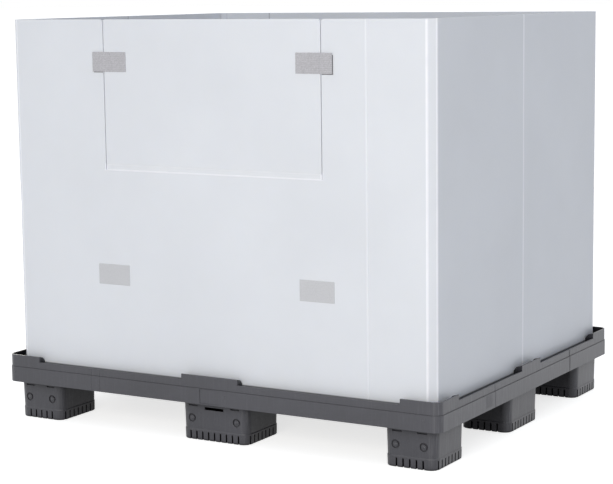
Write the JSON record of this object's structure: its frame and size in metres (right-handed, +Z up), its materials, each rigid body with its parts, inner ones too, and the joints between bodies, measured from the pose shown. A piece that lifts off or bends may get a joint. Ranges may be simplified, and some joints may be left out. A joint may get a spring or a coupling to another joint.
{
  "type": "plastic pallet box",
  "caption": "Pallet-sized box: moulded plastic pallet on feet, folded board sleeve standing in its rim, and a drop-down loading door held by hook-and-loop straps.",
  "frame": {"origin": "on the floor, under the middle of the pallet", "axes": "+X along the long front side, to the right as seen from the door side; +Y from the front (door side) to the back; +Z up"},
  "size_m": [1.2, 1, 0.988],
  "materials": {
    "moulded_hdpe": "moulded, fine eggshell",
    "pp_board": "smooth satin board skin",
    "loop_tape": "brushed woven loop",
    "hook_tape": "woven hook"
  },
  "bodies": {
    "box": {"pallet_deck": "moulded_hdpe", "foot_front_left": "moulded_hdpe", "foot_front_centre": "moulded_hdpe", "foot_front_right": "moulded_hdpe", "foot_middle_left": "moulded_hdpe", "foot_middle_centre": "moulded_hdpe", "foot_middle_right": "moulded_hdpe", "foot_back_left": "moulded_hdpe", "foot_back_centre": "moulded_hdpe", "foot_back_right": "moulded_hdpe", "sleeve": "pp_board", "strap_hook_left": "hook_tape", "strap_hook_right": "hook_tape", "rest_patch_left": "hook_tape", "rest_patch_right": "hook_tape"},
    "door": {"loading_door": "pp_board", "strap_left": "loop_tape", "strap_right": "loop_tape"}
  },
  "joints": [
    {"name": "door_fold", "type": "hinge", "parent": "box", "child": "door", "pos_m": [0, -0.4782, 0.638], "axis": [1, 0, 0], "range_deg": [0, 180]}
  ]
}
